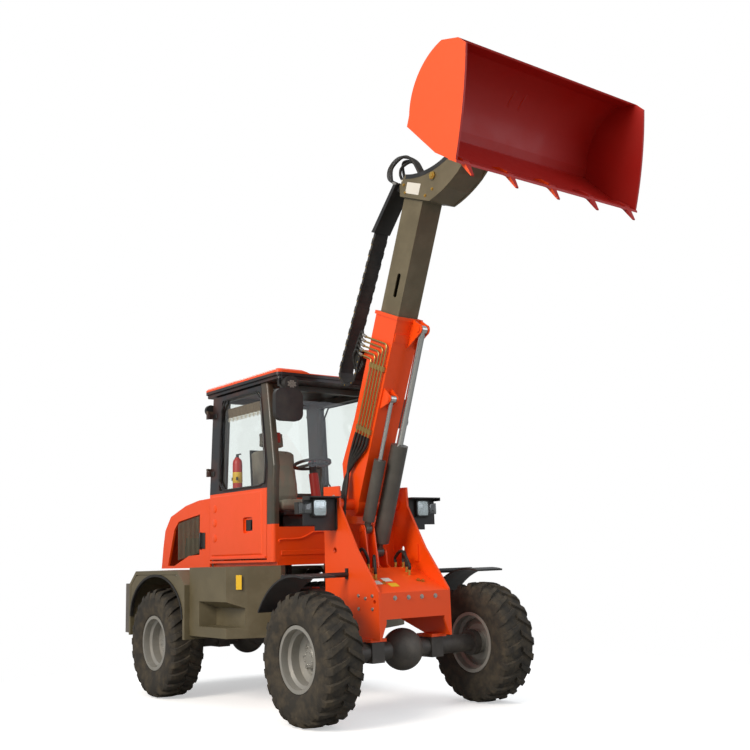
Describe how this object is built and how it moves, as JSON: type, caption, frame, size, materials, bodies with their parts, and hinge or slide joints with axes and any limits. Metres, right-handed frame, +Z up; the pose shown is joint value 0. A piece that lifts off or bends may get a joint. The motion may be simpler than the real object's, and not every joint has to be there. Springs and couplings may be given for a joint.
{
  "type": "articulated wheel loader",
  "caption": "Compact articulated wheel loader with telescopic boom, enclosed cab, toothed bucket and single steering hinge between two frames.",
  "frame": {"origin": "on the ground under the middle of the whole machine's length, on its centre line", "axes": "+X forward to the bucket, +Y to the driver's left, +Z up"},
  "size_m": [5.509, 2.0498, 4.6947],
  "materials": {
    "orange_paint": "satin, weathered",
    "body_paint": "satin, dusty",
    "black_paint": "satin",
    "axle_paint": "satin, dusty",
    "cylinder_paint": "satin",
    "weight_iron": "painted",
    "engine_iron": "painted",
    "rim_paint": "silver, satin",
    "tyre_rubber": "dusty",
    "rod_chrome": "polished",
    "zinc": "yellow zinc",
    "chain_plastic": "matte",
    "window_glass": "clear",
    "seat_cloth": "woven",
    "control_plastic": "matte",
    "fender_plastic": "matte, dusty"
  },
  "bodies": {
    "rear_frame": {"rear_chassis": "axle_paint", "side_bodies": "body_paint", "counterweight": "weight_iron", "rear_axle": "axle_paint", "engine": "engine_iron", "cab_frame": "black_paint", "cab_roof": "orange_paint", "cab_glass": "window_glass", "cab_lower_panels": "orange_paint", "seat": "seat_cloth", "cab_controls": "control_plastic", "mirrors_and_lamps": "control_plastic"},
    "hood": {"engine_hood": "orange_paint", "hood_grilles": "black_paint"},
    "right_door": {"door_right": "orange_paint", "door_right_glass": "window_glass"},
    "left_door": {"door_left": "orange_paint", "door_left_glass": "window_glass"},
    "front_unit": {"front_frame": "orange_paint", "front_axle": "axle_paint", "front_fenders": "fender_plastic", "headlamps": "control_plastic"},
    "boom": {"outer_boom": "orange_paint", "boom_pipes": "zinc", "energy_chain": "chain_plastic"},
    "telescope": {"inner_boom": "body_paint", "boom_head": "body_paint", "hose_guide": "black_paint"},
    "bucket_unit": {"bucket": "orange_paint"},
    "lever": {"tilt_lever": "axle_paint"},
    "link": {"tilt_link": "axle_paint"},
    "lift_cylinder": {"lift_barrel": "cylinder_paint"},
    "lift_piston": {"lift_rod": "rod_chrome"},
    "comp_cylinder": {"comp_barrel": "cylinder_paint"},
    "comp_piston": {"comp_rod": "rod_chrome"},
    "steer_cylinder": {"steer_barrel": "cylinder_paint"},
    "steer_piston": {"steer_rod": "rod_chrome"},
    "wheel_front_left": {"tyre_front_left": "tyre_rubber", "rim_front_left": "rim_paint"},
    "wheel_front_right": {"tyre_front_right": "tyre_rubber", "rim_front_right": "rim_paint"},
    "wheel_rear_left": {"tyre_rear_left": "tyre_rubber", "rim_rear_left": "rim_paint"},
    "wheel_rear_right": {"tyre_rear_right": "tyre_rubber", "rim_rear_right": "rim_paint"}
  },
  "joints": [
    {"name": "articulation", "type": "hinge", "parent": "rear_frame", "child": "front_unit", "pos_m": [-0.5045, 0, 0.768], "axis": [0, 0, 1], "range_deg": [-35, 35]},
    {"name": "hood_hinge", "type": "hinge", "parent": "rear_frame", "child": "hood", "pos_m": [-1.3695, 0, 1.841], "axis": [0, 1, 0], "range_deg": [0, 50]},
    {"name": "right_door_hinge", "type": "hinge", "parent": "rear_frame", "child": "right_door", "pos_m": [-1.3505, -0.64, 2.043], "axis": [0, 0, -1], "range_deg": [0, 100]},
    {"name": "left_door_hinge", "type": "hinge", "parent": "rear_frame", "child": "left_door", "pos_m": [-1.3505, 0.64, 2.043], "axis": [0, 0, 1], "range_deg": [0, 100]},
    {"name": "boom_hinge", "type": "hinge", "parent": "front_unit", "child": "boom", "pos_m": [0.2555, 0, 1.663], "axis": [0, 1, 0], "range_deg": [0, 92.5]},
    {"name": "telescope_slide", "type": "slide", "parent": "boom", "child": "telescope", "axis": [0.3827, 0, 0.9239], "range_m": [-0.95, 0], "deforming": ["energy_chain"]},
    {"name": "bucket_hinge", "type": "hinge", "parent": "telescope", "child": "bucket_unit", "pos_m": [2.02832, 0, 4.43758], "axis": [0, 1, 0], "range_deg": [-140, 0]},
    {"name": "tilt_lever_hinge", "type": "hinge", "parent": "telescope", "child": "lever", "pos_m": [1.4725, 0, 4.183], "axis": [0, 1, 0], "range_deg": [-140, 0]},
    {"name": "tilt_link_hinge", "type": "hinge", "parent": "lever", "child": "link", "pos_m": [1.64201, 0, 4.39411], "axis": [0, 1, 0], "range_deg": [0, 140]},
    {"name": "lift_cylinder_hinge", "type": "hinge", "parent": "front_unit", "child": "lift_cylinder", "pos_m": [0.3345, 0.082, 1.26], "axis": [0, 1, 0], "range_deg": [0, 92.5]},
    {"name": "lift_rod_slide", "type": "slide", "parent": "lift_cylinder", "child": "lift_piston", "axis": [0.3589, 0, 0.9334], "range_m": [-0.56, 0]},
    {"name": "comp_cylinder_hinge", "type": "hinge", "parent": "front_unit", "child": "comp_cylinder", "pos_m": [0.3805, -0.068, 1.453], "axis": [0, 1, 0], "range_deg": [0, 95]},
    {"name": "comp_rod_slide", "type": "slide", "parent": "comp_cylinder", "child": "comp_piston", "axis": [0.3536, 0, 0.9354], "range_m": [-0.36, 0]},
    {"name": "steer_cylinder_hinge", "type": "hinge", "parent": "rear_frame", "child": "steer_cylinder", "pos_m": [-0.6945, 0.175, 0.768], "axis": [0, 0, 1], "range_deg": [-23, 23]},
    {"name": "steer_rod_slide", "type": "slide", "parent": "steer_cylinder", "child": "steer_piston", "axis": [1, 0, 0], "range_m": [-0.11, 0.11]},
    {"name": "wheel_front_left_spin", "type": "hinge", "parent": "front_unit", "child": "wheel_front_left", "pos_m": [0.7205, 0.865, 0.492], "axis": [0, 1, 0], "continuous": true},
    {"name": "wheel_front_right_spin", "type": "hinge", "parent": "front_unit", "child": "wheel_front_right", "pos_m": [0.7205, -0.865, 0.492], "axis": [0, 1, 0], "continuous": true},
    {"name": "wheel_rear_left_spin", "type": "hinge", "parent": "rear_frame", "child": "wheel_rear_left", "pos_m": [-1.7295, 0.865, 0.492], "axis": [0, 1, 0], "continuous": true},
    {"name": "wheel_rear_right_spin", "type": "hinge", "parent": "rear_frame", "child": "wheel_rear_right", "pos_m": [-1.7295, -0.865, 0.492], "axis": [0, 1, 0], "continuous": true}
  ],
  "couplings": [
    {"joint": "lift_cylinder_hinge", "follows": "boom_hinge", "ratio": 0.9285},
    {"joint": "lift_rod_slide", "follows": "boom_hinge", "m_per_rad": -0.344},
    {"joint": "comp_cylinder_hinge", "follows": "boom_hinge", "ratio": 1.02},
    {"joint": "comp_rod_slide", "follows": "boom_hinge", "m_per_rad": -0.22},
    {"joint": "tilt_lever_hinge", "follows": "bucket_hinge", "ratio": 1},
    {"joint": "tilt_link_hinge", "follows": "bucket_hinge", "ratio": -1},
    {"joint": "steer_cylinder_hinge", "follows": "articulation", "ratio": 0.64},
    {"joint": "steer_rod_slide", "follows": "articulation", "m_per_rad": -0.175}
  ]
}
